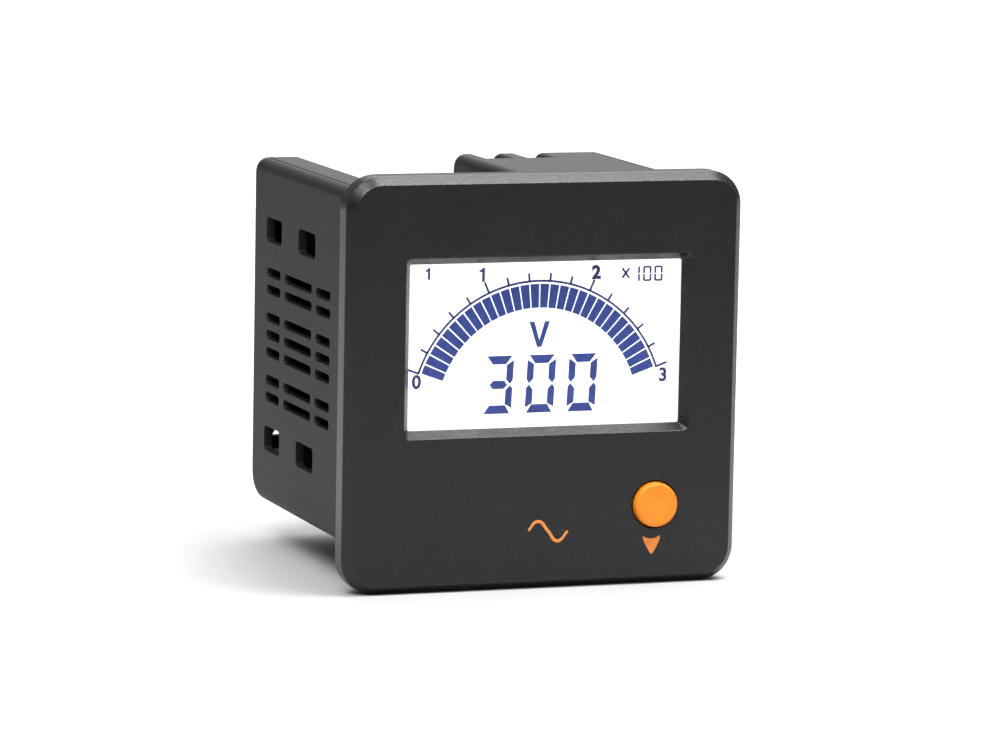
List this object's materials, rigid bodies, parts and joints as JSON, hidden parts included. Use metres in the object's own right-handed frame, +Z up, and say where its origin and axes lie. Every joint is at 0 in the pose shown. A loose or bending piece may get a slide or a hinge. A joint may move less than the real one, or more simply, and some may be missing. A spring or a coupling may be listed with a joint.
{
  "type": "digital panel meter",
  "caption": "Square panel-mounting voltage meter with a recessed curved-bar and digit display, one push button, a deep slotted case and screw terminals at the back.",
  "frame": {"origin": "centre of the front frame, on the plane where its rim seats on the panel", "axes": "+X right seen from the front, +Y from the front face into the panel, +Z up"},
  "size_m": [0.096, 0.0883, 0.096],
  "materials": {
    "frame_plastic": "fine grain, satin black",
    "case_plastic": "fine grain, satin black",
    "window_clear": "clear moulded plate",
    "lcd_glass": "display cell with polarisers",
    "white_plastic": "milky white",
    "grey_rubber": "layered conductive strip",
    "orange_plastic": "satin orange",
    "board_green": "solder resist over glass cloth",
    "part_black": "moulded component body",
    "lamp_white": "moulded lamp body",
    "steel": "zinc plated",
    "brass": "nickel flash over brass",
    "iron": "stacked laminations, varnished",
    "winding_tape": "tape over copper wire",
    "can_metal": "drawn can",
    "varistor_blue": "dipped coating",
    "film_red": "moulded case",
    "resistor_blue": "lacquered body"
  },
  "bodies": {
    "meter": {"front_bezel": "frame_plastic", "display_window": "window_clear", "lcd_panel": "lcd_glass", "light_guide": "white_plastic", "backlight_leds": "lamp_white", "lcd_holder": "white_plastic", "elastomer_strips": "grey_rubber", "display_board": "board_green", "board_screws": "steel", "tact_switch": "part_black", "microcontroller": "part_black", "crystal": "can_metal", "rear_housing": "case_plastic", "power_board": "board_green", "power_header": "part_black", "transformer_core": "iron", "transformer_winding": "winding_tape", "filter_capacitor": "can_metal", "surge_varistor": "varistor_blue", "bridge_rectifier": "part_black", "input_board": "board_green", "input_header": "part_black", "divider_resistors": "resistor_blue", "input_capacitors": "film_red", "measuring_chip": "part_black", "supply_terminals": "brass", "input_terminals": "brass", "terminal_screws": "steel", "clamp_washers": "steel"},
    "button": {"button_cap": "orange_plastic", "switch_plunger": "part_black"}
  },
  "joints": [
    {"name": "button_press", "type": "slide", "parent": "meter", "child": "button", "axis": [0, 1, 0], "range_m": [0, 0.0005], "stiffness_N_per_m": 2500, "springref_m": -0.0005}
  ]
}
